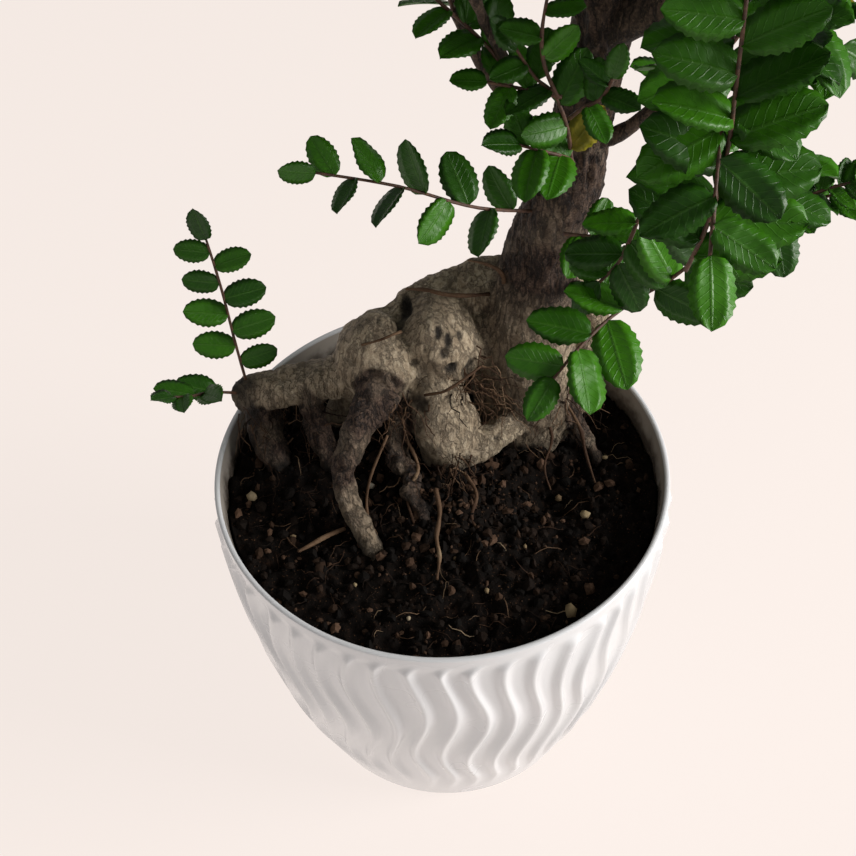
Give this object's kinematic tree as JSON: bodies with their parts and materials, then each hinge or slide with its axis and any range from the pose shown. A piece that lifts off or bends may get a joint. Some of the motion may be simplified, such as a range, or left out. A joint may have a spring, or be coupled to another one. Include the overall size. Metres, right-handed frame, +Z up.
{
  "type": "chinese elm bonsai",
  "caption": "Small elm tree with bared roots, a leaning trunk and serrated leaves, growing in soil in a white ribbed pot.",
  "frame": {"origin": "centre of the pot's flat base", "axes": "+Z up along the pot, -Y towards the viewer of the picture, +X to the right"},
  "size_m": [0.2401, 0.2098, 0.411],
  "materials": {
    "glaze": "white glaze, softly glossy",
    "soil": "dark damp peat crumbs",
    "bark": "rough grey brown bark",
    "leaf": "dark green leaf, slightly glossy"
  },
  "bodies": {
    "root": {"pot": "glaze", "soil": "soil", "spray_front": "leaf", "spray_left": "leaf", "spray_leftFork_1": "leaf", "spray_leftFork_tip": "leaf", "spray_left_1": "leaf", "spray_left_tip": "leaf", "spray_limbBackLeft_1": "leaf", "spray_limbBackLeft_tip": "leaf", "spray_limbBackRight_1": "leaf", "spray_limbBackRight_tip": "leaf", "spray_limbBack_1": "leaf", "spray_limbBack_2": "leaf", "spray_limbBack_tip": "leaf", "spray_limbFront_1": "leaf", "spray_limbFront_tip": "leaf", "spray_limbLeft_1": "leaf", "spray_limbLeft_2": "leaf", "spray_limbLeft_tip": "leaf", "spray_limbLowBack_1": "leaf", "spray_limbLowBack_tip": "leaf", "spray_limbRight_1": "leaf", "spray_limbRight_2": "leaf", "spray_limbRight_3": "leaf", "spray_limbRight_tip": "leaf", "spray_limbTop_1": "leaf", "spray_limbTop_tip": "leaf", "spray_low_left": "leaf", "spray_low_right": "leaf", "spray_near": "leaf", "spray_right": "leaf", "spray_rightStub_1": "leaf", "spray_rightStub_tip": "leaf", "spray_top_tip": "leaf", "spray_trunk": "leaf", "sprout_low": "leaf", "sprout_stump": "leaf", "tree": "bark"}
  },
  "joints": []
}
